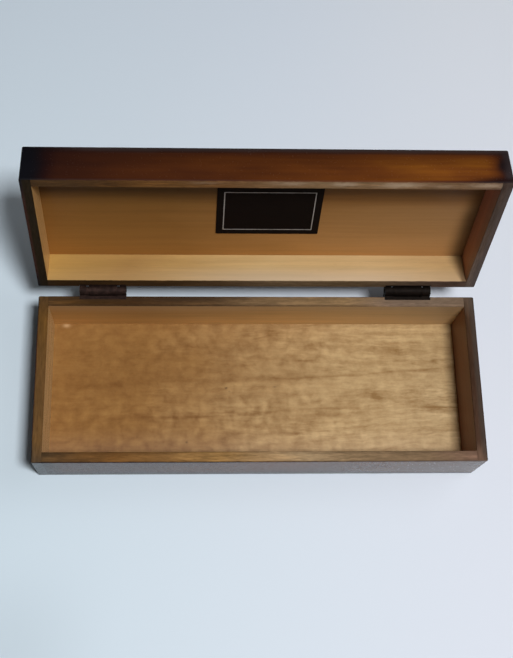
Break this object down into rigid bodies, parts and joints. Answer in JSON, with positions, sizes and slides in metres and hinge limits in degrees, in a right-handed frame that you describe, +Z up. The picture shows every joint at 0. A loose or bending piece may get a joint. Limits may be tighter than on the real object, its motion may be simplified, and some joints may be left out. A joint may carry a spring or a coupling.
{
  "type": "fountain pen case",
  "caption": "Oblong wooden case for a fountain pen: a shallow tray and a lid on back hinges that stands open on the hinge stops, with a plain bordered label inside the lid.",
  "frame": {"origin": "centre of the tray's underside, on the surface the case stands on", "axes": "+X along the case to the right, +Y to the back where the hinges are, +Z up; the lid is stored standing open on its hinge stops"},
  "size_m": [0.19, 0.1095, 0.101],
  "materials": {
    "lacquered_wood": "dark gloss lacquer outside shading to amber, bare figured wood on the rims and inside",
    "label": "dark satin sheet with a thin pale border line",
    "hinge_leaf": "dark bronzed steel, satin",
    "hinge_pin": "dark bronzed steel",
    "hinge_screw": "dark bronzed steel, satin"
  },
  "bodies": {
    "base": {"base_bottom_panel": "lacquered_wood", "base_front_wall": "lacquered_wood", "base_rear_wall": "lacquered_wood", "base_left_end": "lacquered_wood", "base_right_end": "lacquered_wood", "hinge_left_base_leaf": "hinge_leaf", "hinge_right_base_leaf": "hinge_leaf", "hinge_left_pin": "hinge_pin", "hinge_right_pin": "hinge_pin", "hinge_left_base_screws": "hinge_screw", "hinge_right_base_screws": "hinge_screw"},
    "lid": {"lid_top_panel": "lacquered_wood", "lid_front_wall": "lacquered_wood", "lid_rear_wall": "lacquered_wood", "lid_left_end": "lacquered_wood", "lid_right_end": "lacquered_wood", "lid_label": "label", "hinge_left_lid_leaf": "hinge_leaf", "hinge_right_lid_leaf": "hinge_leaf", "hinge_left_lid_screws": "hinge_screw", "hinge_right_lid_screws": "hinge_screw"}
  },
  "joints": [
    {"name": "lid_hinge", "type": "hinge", "parent": "base", "child": "lid", "pos_m": [0, 0.039, 0.02813], "axis": [1, 0, 0], "range_deg": [0, 104]}
  ]
}
